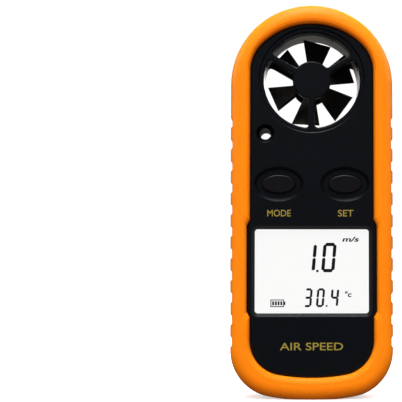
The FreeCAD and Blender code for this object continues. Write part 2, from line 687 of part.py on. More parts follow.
def battery_cover():
    cover = rod(0, CELL_Z, cover_radius, inner_y, cover_back_y())
    cover = cover.makeFillet(COVER_ROUND, edges_at_y(cover, cover_back_y()))
    post_y = inner_y - COVER_GAP
    lugs = []
    for angle in (90, 270):
        start, end = angle - LUG_HALF_ANGLE, angle + LUG_HALF_ANGLE
        lugs.append(sector(cover_radius - LUG_BASE, cover_radius, start, end, post_y, inner_y))
        lugs.append(sector(cover_radius - LUG_BASE, cover_radius + LUG_REACH, start, end,
                           post_y - LUG_THICKNESS, post_y))
    cover = cover.fuse(lugs).removeSplitter()
    half = COIN_SLOT_WIDTH / 2
    slot = rounded_box(-COIN_SLOT_LENGTH / 2, COIN_SLOT_LENGTH / 2, cover_back_y() - COIN_SLOT_DEPTH,
                       cover_back_y(), CELL_Z - half, CELL_Z + half, half - SEAT_GAP)
    return cover.cut(slot).cut(seal_ring())


# ---- duct and vane -------------------------------------------------------------------------
def cage_opening(angle, y_low, y_high):
    """One of the gaps between the spokes: a ring sector with rounded corners."""
    gap = SPOKE_WIDTH / 2
    turn = 360 / SPOKE_COUNT
    ring = tube(0, fan_z, DUCT_RADIUS, CAGE_HUB_RADIUS, y_low, y_high)
    for direction, z_low, z_high in ((0, -DUCT_RADIUS, gap), (turn, -gap, DUCT_RADIUS)):
        spoke_side = box(-DUCT_RADIUS, DUCT_RADIUS, y_low, y_high, fan_z + z_low, fan_z + z_high)
        ring = ring.cut(turned(spoke_side, direction))
    ring = [solid for solid in ring.Solids if solid.Volume > 1][0]
    ring = ring.makeFillet(OPENING_CORNER, edges_along_y(ring))
    return turned(ring, angle)


def cage(side, ring_depth):
    """Ring, spokes and hub: side is -1 for the cage in front of the vane and 1 for the one behind."""
    face = side * cage_y
    y_low, y_high = sorted((face, face - side * CAGE_HUB_DEPTH))
    body = rod(0, fan_z, cage_radius, y_low, y_high)
    for index in range(SPOKE_COUNT):
        body = body.cut(cage_opening(SPOKE_FIRST_ANGLE + index * 360 / SPOKE_COUNT, y_low, y_high))
    around_openings = [edge for edge in edges_at_y(body, face) if edge.BoundBox.XMax < DUCT_RADIUS + SEAT_GAP]
    body = body.makeFillet(CAGE_EDGE_ROUND, around_openings)
    ring_low, ring_high = sorted((face - side * min(CAGE_HUB_DEPTH, ring_depth), face - side * ring_depth))
    if ring_depth > CAGE_HUB_DEPTH:
        body = body.fuse(tube(0, fan_z, cage_radius, DUCT_RADIUS, ring_low, ring_high)).removeSplitter()
    else:
        under_low, under_high = sorted((face - side * ring_depth, face - side * CAGE_HUB_DEPTH))
        trim = tube(0, fan_z, cage_radius, DUCT_RADIUS - SEAT_GAP, under_low, under_high)
        body = body.cut(trim)
    hub_back = face - side * CAGE_HUB_DEPTH
    pocket = sorted((hub_back, hub_back + side * BEARING_LENGTH))
    return body.cut(rod(0, fan_z, BEARING_RADIUS, *pocket))


def back_cage():
    return cage(1, BACK_RING_DEPTH).cut(spin_sensor()).cut(wire_channel())


def duct_liner():
    liner = tube(0, fan_z, liner_radius, DUCT_RADIUS, liner_front_y, liner_back_y)
    middle = (liner_front_y + liner_back_y) / 2
    half = LINER_GROOVE_WIDTH / 2
    liner = liner.cut(rod(0, fan_z, DUCT_RADIUS + LINER_GROOVE, middle - half, middle + half))
    return liner.cut(wire_channel()).cut(thermistor_hole())


def bearing(side):
    hub_back = side * cage_hub_y
    ends = sorted((hub_back, hub_back + side * BEARING_LENGTH))
    body = rod(0, fan_z, BEARING_RADIUS, *ends)
    blind = sorted((hub_back, hub_back + side * (BEARING_LENGTH - AXLE_END_PLAY)))
    return body.cut(rod(0, fan_z, AXLE_RADIUS + AXLE_GAP, *blind))


def axle_half_length():
    return cage_hub_y + BEARING_LENGTH - AXLE_END_PLAY * 2


def vane_axle():
    half = axle_half_length()
    return rod(0, fan_z, AXLE_RADIUS, -half, half)


def vane_hub_ends():
    return -cage_hub_y + VANE_HUB_PLAY, cage_hub_y - VANE_HUB_PLAY


def vane_magnet():
    back = vane_hub_ends()[1]
    return tube(0, fan_z, MAGNET_OUTER_RADIUS, MAGNET_INNER_RADIUS, back - MAGNET_LENGTH, back)


def blade_section(radius):
    """The slanted cross-section of an upright blade at this distance from the axis."""
    half_width_here = radius * math.tan(math.radians(BLADE_HALF_ANGLE))
    along = Vector(half_width_here, BLADE_DEPTH / 2, 0)
    across = Vector(-along.y, along.x, 0).normalize() * (BLADE_THICKNESS / 2)
    centre = Vector(0, 0, fan_z + radius)
    corners = [centre - along - across, centre + along - across, centre + along + across, centre - along + across]
    return Part.makePolygon(corners + corners[:1])


def vane():
    front, back = vane_hub_ends()
    body = rod(0, fan_z, VANE_HUB_RADIUS, front, back)
    tip = (DUCT_RADIUS - BLADE_TIP_GAP) * math.cos(math.radians(BLADE_HALF_ANGLE))
    blade = Part.makeLoft([blade_section(VANE_HUB_RADIUS - BLADE_ROOT_SINK), blade_section(tip)], True, True)
    blades = [turned(blade, BLADE_FIRST_ANGLE - 90 + index * 360 / BLADE_COUNT) for index in range(BLADE_COUNT)]
    body = body.fuse(blades).removeSplitter()
    return body.cut(rod(0, fan_z, AXLE_RADIUS, front, back)).cut(vane_magnet())


# ---- sensors and their leads ---------------------------------------------------------------
def spin_sensor():
    width, depth, height = SENSOR_SIZE
    top = fan_z - SENSOR_OFFSET + height / 2
    return box(-width / 2, width / 2, cage_hub_y, cage_hub_y + depth, top - height, top)


def wire_y():
    return cage_hub_y + WIRE_RADIUS + WIRE_GAP


def wire_channel():
    """The groove for the sensor leads, down the lowest spoke and out through the duct wall."""
    half = WIRE_PITCH * (WIRE_COUNT - 1) / 2 + WIRE_RADIUS + WIRE_GAP
    top = fan_z - SENSOR_OFFSET
    return box(-half, half, cage_hub_y, wire_y() + WIRE_RADIUS + WIRE_GAP, fan_z - collar_radius - WIRE_PITCH, top)


def lead(x, y, z_start, z_end, radius):
    """A lead that runs down from z_start, then forwards through one bend to the board at z_end."""
    start = Vector(x, y, z_start)
    bend_top = Vector(x, y, z_end + WIRE_BEND)
    bend_end = Vector(x, y - WIRE_BEND, z_end)
    drop = WIRE_BEND * (1 - math.sqrt(0.5))
    middle = Vector(x, y - drop, z_end + drop)
    path = [Part.LineSegment(start, bend_top).toShape(), arc(bend_top, middle, bend_end),
            Part.LineSegment(bend_end, Vector(x, board_back_y, z_end)).toShape()]
    section = Part.Wire([Part.Circle(start, Vector(0, 0, 1), radius).toShape()])
    return Part.Wire(path).makePipeShell([section], True, True)


def sensor_leads():
    top = fan_z - SENSOR_OFFSET - SENSOR_SIZE[2] / 2
    first = -WIRE_PITCH * (WIRE_COUNT - 1) / 2
    landing = BOARD_TOP_Z - WIRE_LANDING
    return Part.makeCompound([lead(first + index * WIRE_PITCH, wire_y(), top, landing, WIRE_RADIUS)
                              for index in range(WIRE_COUNT)])


def radial_rod(angle, radius, y, start, end):
    x_start, z_start = polar(angle, start, fan_z)
    x_end, z_end = polar(angle, end, fan_z)
    axis = Vector(x_end - x_start, 0, z_end - z_start)
    return Part.makeCylinder(radius, end - start, Vector(x_start, y, z_start), axis)


def thermistor_hole():
    spare = THERMISTOR_HOLE_SPARE
    return radial_rod(THERMISTOR_ANGLE, THERMISTOR_RADIUS, THERMISTOR_Y, DUCT_RADIUS - spare, collar_radius + spare)


def thermistor():
    return radial_rod(THERMISTOR_ANGLE, THERMISTOR_RADIUS, THERMISTOR_Y, DUCT_RADIUS, collar_radius)


def thermistor_leads():
    """Two leads that start on the slanted outer end of the thermistor."""
    x, z = polar(THERMISTOR_ANGLE, collar_radius, fan_z)
    slope = -1 / math.tan(math.radians(THERMISTOR_ANGLE))
    landing = BOARD_TOP_Z - WIRE_LANDING
    leads = []
    for side in (-1, 1):
        offset = side * THERMISTOR_LEAD_PITCH / 2
        top = z + slope * offset - abs(slope) * WIRE_RADIUS
        leads.append(lead(x + offset, THERMISTOR_Y, top, landing, WIRE_RADIUS))
    return Part.makeCompound(leads)


# ---- every node ----------------------------------------------------------------------------
nodes = {
    "grip_sleeve": grip_sleeve(),
    "front_shell": front_shell(),
    "back_shell": back_shell(),
    "case_screws": case_screw_set(),
    "front_cage": cage(-1, FRONT_RING_DEPTH),
    "back_cage": back_cage(),
    "duct_liner": duct_liner(),
    "front_bearing": bearing(-1),
    "back_bearing": bearing(1),
    "vane": vane(),
    "vane_axle": vane_axle(),
    "vane_magnet": vane_magnet(),
    "spin_sensor": spin_sensor(),
    "sensor_leads": sensor_leads(),
    "thermistor": thermistor(),
    "thermistor_leads": thermistor_leads(),
    "display_window": display_window(),
    "display_glass": display_glass(),
    "display_holder": display_holder(),
    "backlight_panel": backlight_panel(),
    "contact_strips": contact_strips(),
    "mode_key": key(-1),
    "set_key": key(1),
    "mode_plunger": switch_plunger(-1),
    "set_plunger": switch_plunger(1),
    "key_switches": key_switches(),
    "circuit_board": circuit_board(),
    "board_screws": board_screw_set(),
    "controller_chip": controller_chip(),
    "clock_crystal": clock_crystal(),
    "small_components": small_components(),
    "coin_cell": coin_cell(),
    "positive_contact": positive_contact(),
    "negative_contact": negative_contact(),
    "battery_cover": battery_cover(),
    "cover_seal": seal_ring(),
}

os.makedirs("parts", exist_ok=True)
for name, shape in nodes.items():
    shape.exportStep(f"parts/{name}.step")
    print(name, len(shape.Solids), shape.isValid(), round(shape.Volume, 2))
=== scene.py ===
import logging
import math
from dataclasses import dataclass, field
from enum import Enum

import bpy
from mathutils import Matrix, Vector


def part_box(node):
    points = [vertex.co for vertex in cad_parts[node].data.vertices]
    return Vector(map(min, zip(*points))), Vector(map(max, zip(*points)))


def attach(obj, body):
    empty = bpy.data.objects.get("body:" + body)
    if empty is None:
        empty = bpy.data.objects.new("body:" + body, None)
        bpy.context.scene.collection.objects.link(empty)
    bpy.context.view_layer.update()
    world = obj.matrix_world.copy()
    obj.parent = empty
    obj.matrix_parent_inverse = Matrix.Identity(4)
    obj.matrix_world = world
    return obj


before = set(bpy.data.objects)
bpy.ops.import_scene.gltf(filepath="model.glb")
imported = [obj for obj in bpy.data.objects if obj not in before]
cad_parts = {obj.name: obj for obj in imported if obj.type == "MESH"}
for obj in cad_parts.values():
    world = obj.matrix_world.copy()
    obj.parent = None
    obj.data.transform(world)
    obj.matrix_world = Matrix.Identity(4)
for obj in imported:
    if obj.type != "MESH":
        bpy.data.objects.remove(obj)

LOG = logging.getLogger("weather_meter")
MM = 0.001


# ---- helpers -------------------------------------------------------------------------------
def linear(hex_colour: str) -> tuple[float, float, float, float]:
    """Turns an sRGB hex colour into the linear RGBA that shaders take.

    Args:
        hex_colour: Six hex digits, with or without a leading #.

    Returns:
        Linear red, green and blue, with an alpha of 1.
    """
    digits = hex_colour.lstrip("#")
    channels = [int(digits[start:start + 2], 16) / 255 for start in (0, 2, 4)]
    values = [c / 12.92 if c <= 0.04045 else ((c + 0.055) / 1.055) ** 2.4 for c in channels]
    return values[0], values[1], values[2], 1.0


def add_node(tree: bpy.types.NodeTree, kind: str, inputs: dict, **settings) -> bpy.types.Node:
    """Adds one shader node with its settings, values and links.

    Args:
        tree: The material's node tree.
        kind: The node's type name.
        inputs: Socket name or index to a value, or to the output socket that feeds it.
        **settings: Properties of the node itself.

    Returns:
        The new node.
    """
    node = tree.nodes.new(kind)
    for key, value in settings.items():
        setattr(node, key, value)
    for key, value in inputs.items():
        if isinstance(value, bpy.types.NodeSocket):
            tree.links.new(value, node.inputs[key])
        else:
            node.inputs[key].default_value = value
    return node


def start_clean() -> None:
    """Leaves edit mode and deselects everything."""
    if bpy.context.mode != "OBJECT":
        bpy.ops.object.mode_set(mode="OBJECT")
    bpy.ops.object.select_all(action="DESELECT")


def joined(pieces: list[bpy.types.Object], name: str) -> bpy.types.Object:
    """Joins pieces into one object that sits at the origin.

    Args:
        pieces: The objects to join.
        name: The joined object's name.

    Returns:
        The joined object.
    """
    start_clean()
    for piece in pieces:
        piece.select_set(True)
    bpy.context.view_layer.objects.active = pieces[0]
    if len(pieces) > 1:
        bpy.ops.object.join()
    whole = bpy.context.view_layer.objects.active
    bpy.ops.object.transform_apply(location=True, rotation=True, scale=True)
    whole.name = name
    return whole


# ---- finishes ------------------------------------------------------------------------------
@dataclass(frozen=True)
class Finish:
    """A surface: what it is made of, its colour and how it scatters light."""

    name: str
    colour: str
    roughness: float
    ior: float = 1.5
    metallic: float = 0.0
    shine: float = 0.5
    slot: str = ""

    def pattern(self, tree: bpy.types.NodeTree, shader: bpy.types.Node) -> None:
        """Adds the surface's own pattern; the plain finish has none.

        Args:
            tree: The material's node tree.
            shader: The principled shader that the pattern feeds.
        """

    def material(self) -> bpy.types.Material:
        """Makes the material, once.

        Returns:
            The material of this finish.
        """
        made = bpy.data.materials.get(self.name)
        if made:
            return made
        made = bpy.data.materials.new(self.name)
        made.use_nodes = True
        tree = made.node_tree
        shader = tree.nodes["Principled BSDF"]
        shader.inputs["Base Color"].default_value = linear(self.colour)
        shader.inputs["Roughness"].default_value = self.roughness
        shader.inputs["Metallic"].default_value = self.metallic
        shader.inputs["Specular IOR Level"].default_value = self.shine
        if not self.metallic:
            shader.inputs["IOR"].default_value = self.ior
        made.diffuse_color = linear(self.colour)
        self.pattern(tree, shader)
        return made


@dataclass(frozen=True)
class Grained(Finish):
    """A moulded surface with a grain cut into the mould, and a slow drift of colour and gloss."""

    grain_mm: float = 0.3
    grain_depth_mm: float = 0.01
    drift_mm: float = 14.0
    drift_colour: str = ""
    gloss_drift: float = 0.06

    def pattern(self, tree: bpy.types.NodeTree, shader: bpy.types.Node) -> None:
        """Adds the grain as bump and the drift as a mix of two near colours.

        Args:
            tree: The material's node tree.
            shader: The principled shader that the pattern feeds.
        """
        place = add_node(tree, "ShaderNodeTexCoord", {}).outputs["Object"]
        grain = add_node(tree, "ShaderNodeTexNoise", {"Vector": place, "Scale": 1 / (self.grain_mm * MM),
                                                      "Detail": 2.0, "Roughness": 0.55})
        drift = add_node(tree, "ShaderNodeTexNoise", {"Vector": place, "Scale": 1 / (self.drift_mm * MM),
                                                      "Detail": 3.0})
        mix = add_node(tree, "ShaderNodeMix", {0: drift.outputs["Fac"], 6: linear(self.colour),
                                               7: linear(self.drift_colour or self.colour)},
                       data_type="RGBA")
        tree.links.new(mix.outputs[2], shader.inputs["Base Color"])
        low, high = self.roughness - self.gloss_drift, self.roughness + self.gloss_drift
        gloss = add_node(tree, "ShaderNodeMapRange", {"Value": grain.outputs["Fac"], "From Min": 0.3,
                                                      "From Max": 0.7, "To Min": low, "To Max": high})
        tree.links.new(gloss.outputs["Result"], shader.inputs["Roughness"])
        bump = add_node(tree, "ShaderNodeBump", {"Height": grain.outputs["Fac"], "Strength": 1.0,
                                                 "Distance": self.grain_depth_mm * MM})
        tree.links.new(bump.outputs["Normal"], shader.inputs["Normal"])


@dataclass(frozen=True)
class Elastomer(Grained):
    """A soft moulding that lets a little light through, so its shaded parts glow instead of going brown."""

    depth_mm: float = 1.2
    through: float = 0.3

    def pattern(self, tree: bpy.types.NodeTree, shader: bpy.types.Node) -> None:
        """Adds the grain and the light that travels under the surface.

        Args:
            tree: The material's node tree.
            shader: The principled shader that the pattern feeds.
        """
        super().pattern(tree, shader)
        shader.inputs["Subsurface Weight"].default_value = self.through
        shader.inputs["Subsurface Radius"].default_value = (1.0, 0.3, 0.08)
        shader.inputs["Subsurface Scale"].default_value = self.depth_mm * MM


@dataclass(frozen=True)
class Drawn(Finish):
    """Sheet metal with the fine lines of drawing or turning, which run round the duct axis."""

    line_mm: float = 0.12
    line_depth_mm: float = 0.004
    stretch: float = 30.0

    def pattern(self, tree: bpy.types.NodeTree, shader: bpy.types.Node) -> None:
        """Adds lines at right angles to Y, as bump and as a change of gloss.

        Args:
            tree: The material's node tree.
            shader: The principled shader that the pattern feeds.
        """
        place = add_node(tree, "ShaderNodeTexCoord", {}).outputs["Object"]
        squeezed = add_node(tree, "ShaderNodeMapping", {"Vector": place,
                                                        "Scale": (1 / self.stretch, 1.0, 1 / self.stretch)})
        lines = add_node(tree, "ShaderNodeTexNoise", {"Vector": squeezed.outputs["Vector"],
                                                      "Scale": 1 / (self.line_mm * MM), "Detail": 3.0})
        gloss = add_node(tree, "ShaderNodeMapRange", {"Value": lines.outputs["Fac"], "From Min": 0.3,
                                                      "From Max": 0.7, "To Min": self.roughness - 0.08,
                                                      "To Max": self.roughness + 0.12})
        tree.links.new(gloss.outputs["Result"], shader.inputs["Roughness"])
        bump = add_node(tree, "ShaderNodeBump", {"Height": lines.outputs["Fac"], "Strength": 0.8,
                                                 "Distance": self.line_depth_mm * MM})
        tree.links.new(bump.outputs["Normal"], shader.inputs["Normal"])


@dataclass(frozen=True)
class Clear(Finish):
    """A clear window, which only tints what lies behind it."""

    tint: float = 0.05

    def pattern(self, tree: bpy.types.NodeTree, shader: bpy.types.Node) -> None:
        """Lets light straight through.

        Args:
            tree: The material's node tree.
            shader: The principled shader.
        """
        shader.inputs["Alpha"].default_value = self.tint


@dataclass(frozen=True)
class EvenGlow(Finish):
    """A surface with an even glow of its own: on the display face it is painted light, on the floor an
    evenly bright sheet.
    """

    glow: float = 1.0
    unlit: str = "#404441"

    def pattern(self, tree: bpy.types.NodeTree, shader: bpy.types.Node) -> None:
        """Makes the surface give light.

        Args:
            tree: The material's node tree.
            shader: The principled shader.
        """
        shader.inputs["Base Color"].default_value = linear(self.unlit)
        shader.inputs["Emission Color"].default_value = linear(self.colour)
        shader.inputs["Emission Strength"].default_value = self.glow


class Finishes(Enum):
    """Every finish on the meter."""

    # Soft elastomer moulded over the case: satin, faintly pebbled, a little lighter in places.
    GRIP = Elastomer("Overmoulded_TPE_orange", "#EE860C", 0.42, 1.5, shine=0.14, slot="orange_rubber",
                     grain_mm=0.35, grain_depth_mm=0.012, drift_mm=22.0, drift_colour="#F18C12")
    # ABS from a spark-eroded mould: a fine matt texture that breaks up reflections.
    CASE = Grained("Spark_textured_ABS_black", "#03070B", 0.36, 1.53, shine=0.2, slot="black_abs",
                   grain_mm=0.22, grain_depth_mm=0.022, drift_mm=18.0, drift_colour="#050A0F")
    # ABS from a stoned mould: the keys are a touch smoother than the case.
    KEY = Grained("Stoned_ABS_black", "#08090D", 0.34, 1.53, shine=0.22, slot="black_keys", grain_mm=0.16,
                  grain_depth_mm=0.01, drift_mm=8.0, drift_colour="#0A0C10")
    # Glass-filled nylon from a polished mould: thin blades with a soft gloss.
    VANE = Grained("Moulded_nylon_black", "#040505", 0.34, 1.53, shine=0.25, slot="vane_plastic",
                   grain_mm=0.5, grain_depth_mm=0.006, drift_mm=6.0, drift_colour="#090A0B")
    # Drawn aluminium tube, dulled by handling: fine lines run round the duct.
    LINER = Drawn("Drawn_aluminium", "#DDD5C8", 0.38, metallic=1.0, slot="liner_metal")
    # Zinc-plated steel, turned: screws, axle and the cell's can.
    STEEL = Drawn("Plated_steel", "#B9BBBD", 0.3, metallic=1.0, slot="steel", line_mm=0.08)
    # Turned brass bushes and phosphor-bronze contacts.
    BRASS = Drawn("Turned_brass", "#C9A24C", 0.3, metallic=1.0, slot="brass", line_mm=0.08)
    # Sintered ferrite, ground: dull and nearly black.
    MAGNET = Grained("Ground_ferrite", "#2B2B2D", 0.6, 1.6, slot="magnet", grain_mm=0.1,
                     grain_depth_mm=0.004)
    # Acrylic sheet: clear, with a slight grey tint and hardly any reflection.
    WINDOW = Clear("Clear_acrylic", "#101418", 0.0, 1.49, shine=0.3, slot="clear_window")
    # The face behind the segments: even white, a painted glow that stands in for the light the window in
    # front shades off.
    DISPLAY = EvenGlow("Display_film_painted_glow", "#FFFFFF", 0.5, shine=0.1, slot="display_face", glow=1.0)
    # White reflective acetal holder and diffuser.
    WHITE = Grained("Moulded_acetal_white", "#E9E8E4", 0.45, 1.48, slot="white_plastic", grain_mm=0.3,
                    grain_depth_mm=0.006, drift_colour="#DEDDD8")
    # Carbon-loaded silicone: the contact strips and the sealing ring.
    SILICONE = Grained("Moulded_silicone_grey", "#3A3B3D", 0.6, 1.41, slot="grey_rubber", grain_mm=0.2)
    # Glass-epoxy board under green solder mask.
    BOARD = Grained("Solder_mask_green", "#0E5A2C", 0.3, 1.55, slot="board_green", grain_mm=0.6,
                    grain_depth_mm=0.008, drift_mm=5.0, drift_colour="#137038")
    # Moulded epoxy packages, matt from the mould.
    CHIP = Grained("Moulded_epoxy_black", "#17181A", 0.55, 1.55, slot="chip_black", grain_mm=0.12)
    # Extruded vinyl insulation.
    WIRE = Grained("Extruded_vinyl_red", "#A32218", 0.4, 1.54, slot="wire_sleeve", grain_mm=0.4)
    # Liquid-crystal segments, switched on: flat black.
    SEGMENT = Finish("Liquid_crystal_black", "#050505", 0.5, slot="display_face")
    # Pad-printed ink, khaki gold, slightly raised and a little less matt than the case.
    INK = Grained("Pad_printed_gold_ink", "#8F883A", 0.5, 1.5, shine=0.3, slot="black_abs", grain_mm=0.12,
                  grain_depth_mm=0.004, drift_mm=2.0, drift_colour="#857E35")


def dress(piece: bpy.types.Object, finish: Finishes) -> None:
    """Gives every material slot of a piece one finish.

    Args:
        piece: The object, new or from the frame.
        finish: Its finish.
    """
    material = finish.value.material()
    if not piece.material_slots:
        piece.data.materials.append(material)
    for slot in piece.material_slots:
        slot.material = material
    LOG.info("%s wears %s", piece.name, finish.value.name)


# ---- the meter's sub-assemblies ------------------------------------------------------------
@dataclass
class SubAssembly:
    """A group of nodes that wear known finishes."""

    body: str
    wears: dict[Finishes, list[str]]

    def build(self) -> list[bpy.types.Object]:
        """Makes the group's new pieces.

        Returns:
            The new pieces; the plain group has none.
        """
        return []

    def dress_nodes(self) -> None:
        """Gives each node its finish."""
        for finish, names in self.wears.items():
            for name in names:
                dress(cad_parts[name], finish)

    def add(self, piece: bpy.types.Object, finish: Finishes) -> bpy.types.Object:
        """Dresses a new piece and makes it ride on the group's body.

        Args:
            piece: The new piece.
            finish: Its finish.

        Returns:
            The same piece.
        """
        dress(piece, finish)
        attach(piece, self.body)
        LOG.info("built %s on %s", piece.name, self.body)
        return piece


@dataclass
class Lettering:
    """Flat printed characters, lying just in front of a surface that faces -Y."""

    words: str
    x_mm: float
    z_mm: float
    height_mm: float
    width_mm: float
    weight: float = 0.005
    slant: float = 0.0
    thickness_mm: float = 0.02

    def build(self, surface_y: float, name: str) -> bpy.types.Object:
        """Makes the words as a thin mesh.

        Args:
            surface_y: Where the surface lies along Y, in metres.
            name: The piece's name.

        Returns:
            The mesh object, at the origin.
        """
        start_clean()
        bpy.ops.object.text_add()
        text = bpy.context.object
        text.data.body = self.words
        text.data.align_x, text.data.align_y = "CENTER", "CENTER"
        text.data.offset = self.weight
        text.data.shear = self.slant
        text.data.extrude = 0.5
        text.data.resolution_u = 6
        bpy.ops.object.convert(target="MESH")
        made = bpy.context.object
        low = Vector([min(v.co[axis] for v in made.data.vertices) for axis in range(3)])
        high = Vector([max(v.co[axis] for v in made.data.vertices) for axis in range(3)])
        size, middle = high - low, (high + low) / 2
        made.data.transform(Matrix.Translation(-middle))
        made.scale = (self.width_mm * MM / size.x, self.height_mm * MM / size.y,
                      self.thickness_mm * MM / size.z)
        made.rotation_euler = (math.pi / 2, 0, 0)
        made.location = (self.x_mm * MM, surface_y - self.thickness_mm * MM / 2, self.z_mm * MM)
        return joined([made], name)


class Segment(Enum):
    """The seven bars of a digit: column (-1 left, 1 right), row (1 top, -1 bottom), and if it stands."""

    TOP = (0, 1.0, False)
    MIDDLE = (0, 0.0, False)
    BOTTOM = (0, -1.0, False)
    UPPER_LEFT = (-1, 0.5, True)
    UPPER_RIGHT = (1, 0.5, True)
    LOWER_LEFT = (-1, -0.5, True)
    LOWER_RIGHT = (1, -0.5, True)


RIGHT_SIDE = (Segment.UPPER_RIGHT, Segment.LOWER_RIGHT)
LEFT_SIDE = (Segment.UPPER_LEFT, Segment.LOWER_LEFT)
DIGITS = {
    "0": (Segment.TOP, Segment.BOTTOM) + LEFT_SIDE + RIGHT_SIDE,
    "1": RIGHT_SIDE,
    "3": (Segment.TOP, Segment.MIDDLE, Segment.BOTTOM) + RIGHT_SIDE,
    "4": (Segment.UPPER_LEFT, Segment.MIDDLE) + RIGHT_SIDE,
}


@dataclass
class Digit:
    """One seven-segment digit; sizes run between the middles of its bars."""

    figure: str
    x_mm: float
    z_mm: float
    width_mm: float
    height_mm: float
    stroke_mm: float
    gap_mm: float

    def bars(self) -> list[tuple[float, float, float, bool]]:
        """Works out the bars that are on.

        Returns:
            For each bar its middle x and z, its length, in millimetres, and whether it stands.
        """
        found = []
        for segment in DIGITS[self.figure]:
            column, row, stands = segment.value
            length = self.height_mm / 2 if stands else self.width_mm
            found.append((self.x_mm + column * self.width_mm / 2, self.z_mm + row * self.height_mm / 2,
                          length - self.gap_mm, stands))
        return found


@dataclass
class Display(SubAssembly):
    """The display, with a painted white glow on its face: segments, points, units and the battery mark,
    printed in front of the glass.
    """

    glass_node: str = "display_glass"
    film_mm: float = 0.02
    lean_deg: float = 5.0
    point_pull: float = 0.34
    digits: list[Digit] = field(default_factory=list)
    points: list[tuple[float, float, float]] = field(default_factory=list)
    units: list[Lettering] = field(default_factory=list)
    battery_low_mm: tuple[float, float] = (-10.96, 24.2)
    battery_size_mm: tuple[float, float] = (3.6, 2.0)
    battery_line_mm: float = 0.24
    battery_cells: int = 4
    battery_nub_share: float = 0.45
    battery_inset_lines: float = 1.5
    battery_gap_lines: float = 0.9

    @property
    def front(self) -> float:
        """Where the front of the film lies along Y, in metres."""
        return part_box(self.glass_node)[0].y - self.film_mm * MM

    def bar(self, x_mm: float, z_mm: float, wide_mm: float, tall_mm: float,
            pointed: bool) -> bpy.types.Object:
        """Makes one flat bar of the film.

        Args:
            x_mm: Its middle along X.
            z_mm: Its middle along Z.
            wide_mm: Its size along X.
            tall_mm: Its size along Z.
            pointed: Whether its ends run to a point, as a digit's bars do.

        Returns:
            The bar, at the origin.
        """
        start_clean()
        bpy.ops.mesh.primitive_plane_add(size=1.0)
        made = bpy.context.object
        made.scale = (wide_mm * MM, tall_mm * MM, 1.0)
        bpy.ops.object.transform_apply(location=False, rotation=False, scale=True)
        if pointed:
            bpy.ops.object.mode_set(mode="EDIT")
            bpy.ops.mesh.select_all(action="SELECT")
            pull = min(wide_mm, tall_mm) * MM * self.point_pull
            bpy.ops.mesh.bevel(affect="VERTICES", offset=pull, segments=1)
            bpy.ops.object.mode_set(mode="OBJECT")
        made.rotation_euler = (math.pi / 2, 0.0, 0.0)
        made.location = (x_mm * MM, self.front, z_mm * MM)
        bpy.ops.object.transform_apply(location=True, rotation=True, scale=True)
        solid = made.modifiers.new("film", "SOLIDIFY")
        solid.thickness = self.film_mm * MM
        bpy.ops.object.modifier_apply(modifier=solid.name)
        return made

    def figure(self, digit: Digit) -> bpy.types.Object:
        """Makes one digit, leaning to the right.

        Args:
            digit: The digit.

        Returns:
            Its bars as one mesh.
        """
        stroke = digit.stroke_mm
        bars = [self.bar(x, z, stroke if stands else length, length if stands else stroke, True)
                for x, z, length, stands in digit.bars()]
        made = joined(bars, f"digit_{digit.figure}")
        for vertex in made.data.vertices:
            vertex.co.x += (vertex.co.z - digit.z_mm * MM) * math.tan(math.radians(self.lean_deg))
        return made

    def battery_mark(self) -> bpy.types.Object:
        """Makes the battery mark: an outline with a nub, and a bar for each quarter of charge.

        Returns:
            The mark as one mesh.
        """
        x, z = self.battery_low_mm
        wide, tall = self.battery_size_mm
        line = self.battery_line_mm
        inset = self.battery_inset_lines * line
        middle = z + tall / 2
        pieces = [self.bar(x + wide / 2, z + at, wide, line, False) for at in (line / 2, tall - line / 2)]
        pieces += [self.bar(x + at, middle, line, tall - 2 * line, False)
                   for at in (line / 2, wide - line / 2)]
        pieces.append(self.bar(x + wide + inset / 2, middle, inset, tall * self.battery_nub_share, False))
        pitch = (wide - 2 * inset) / self.battery_cells
        for cell in range(self.battery_cells):
            pieces.append(self.bar(x + inset + pitch * (cell + 0.5), middle,
                                   pitch - line * self.battery_gap_lines, tall - 4 * line, False))
        return joined(pieces, "battery_mark")

    def build(self) -> list[bpy.types.Object]:
        """Makes the segments, the points, the units and the battery mark.

        Returns:
            The new pieces.
        """
        figures = joined([self.figure(digit) for digit in self.digits], "display_digits")
        points = joined([self.bar(x, z, size, size, False) for x, z, size in self.points], "display_points")
        units = [unit.build(self.front + self.film_mm * MM, f"display_unit_{count}")
                 for count, unit in enumerate(self.units)]
        made = [figures, points, self.battery_mark(), *units]
        return [self.add(piece, Finishes.SEGMENT) for piece in made]


@dataclass
class Shells(SubAssembly):
    """The two case halves, with the labels printed on the front."""

    face_node: str = "front_shell"
    labels: dict[str, Lettering] = field(default_factory=dict)

    def build(self) -> list[bpy.types.Object]:
        """Prints the labels on the front face.

        Returns:
            The labels.
        """
        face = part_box(self.face_node)[0].y
        return [self.add(label.build(face, name), Finishes.INK) for name, label in self.labels.items()]


class Mark(Enum):
    """The marks round the battery cover: number of corners, and whether the middle is open."""

    DOT = (32, False)
    RING = (32, True)
    POINTER = (3, False)


